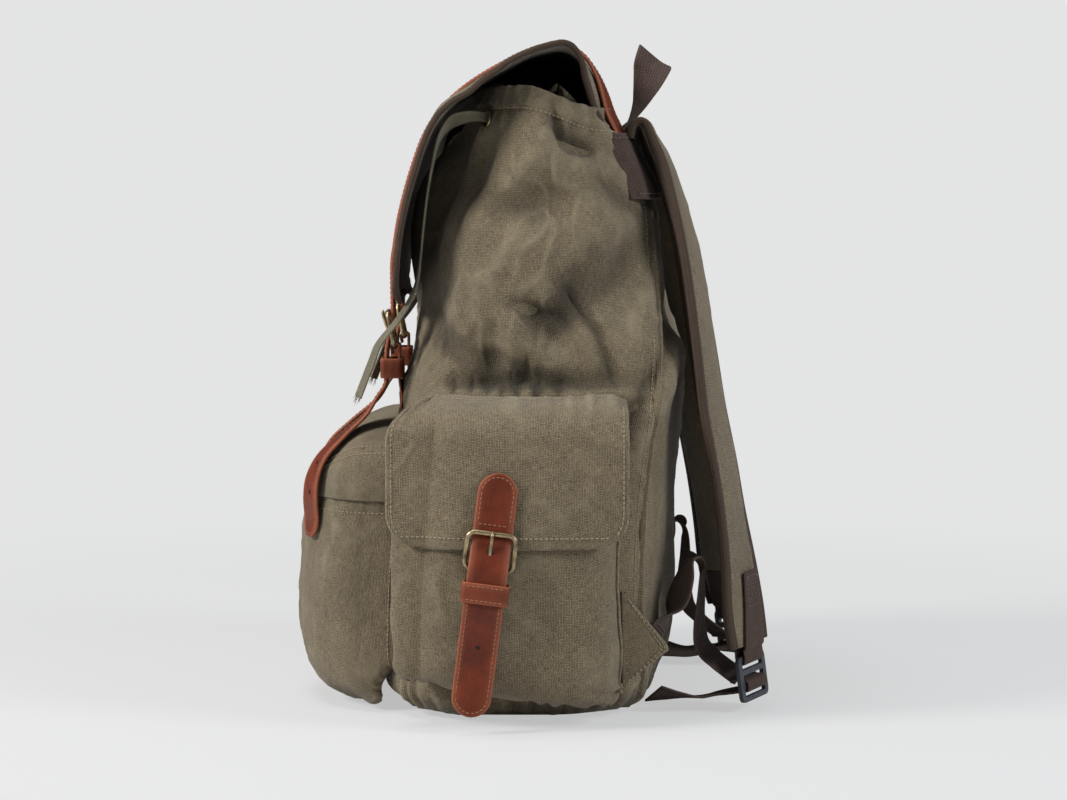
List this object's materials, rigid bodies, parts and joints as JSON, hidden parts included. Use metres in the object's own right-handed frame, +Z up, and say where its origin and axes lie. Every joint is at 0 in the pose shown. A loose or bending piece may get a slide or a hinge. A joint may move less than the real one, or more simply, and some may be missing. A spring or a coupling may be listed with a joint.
{
  "type": "canvas rucksack",
  "caption": "Canvas rucksack with a drawstring mouth under a strapped lid, buckled front and side pockets, a haul loop and padded shoulder straps.",
  "frame": {"origin": "centre of the bag's footprint box on the floor, measured without the drawstrings", "axes": "+Z up; -Y towards the front pocket, +Y towards the wearer; +X is the right-hand side seen from the front, and the wearer's right"},
  "size_m": [0.4102, 0.3128, 0.4353],
  "materials": {
    "canvas": "washed cotton canvas",
    "leather": "worn vegetable tanned",
    "brass": "antique",
    "webbing": "dark woven tape",
    "plastic": "matt"
  },
  "bodies": {
    "root": {"bag_body": "canvas", "main_lid": "canvas", "front_pocket": "canvas", "front_pocket_flap": "canvas", "side_pocket_right": "canvas", "side_pocket_left": "canvas", "side_flap_right": "canvas", "side_flap_left": "canvas", "side_strap_right": "leather", "side_strap_left": "leather", "side_buckle_right": "brass", "side_buckle_left": "brass", "side_prong_right": "brass", "side_prong_left": "brass", "side_base_right": "leather", "side_base_left": "leather", "side_keeper_right": "leather", "side_keeper_left": "leather", "lid_strap_right": "leather", "lid_strap_left": "leather", "front_buckle_right": "brass", "front_buckle_left": "brass", "front_prong_right": "brass", "front_prong_left": "brass", "front_base_right": "leather", "front_base_left": "leather", "front_keeper_right": "leather", "front_keeper_left": "leather", "eyelet_right": "brass", "eyelet_left": "brass", "drawstring_right": "canvas", "drawstring_left": "canvas", "shoulder_strap_right": "canvas", "shoulder_strap_left": "canvas", "ladder_lock_right": "plastic", "ladder_lock_left": "plastic", "strap_patch_right": "webbing", "strap_patch_left": "webbing", "lower_webbing_right": "webbing", "lower_webbing_left": "webbing", "gusset_tab_right": "canvas", "gusset_tab_left": "canvas", "back_band": "webbing", "haul_loop": "webbing"}
  },
  "joints": []
}
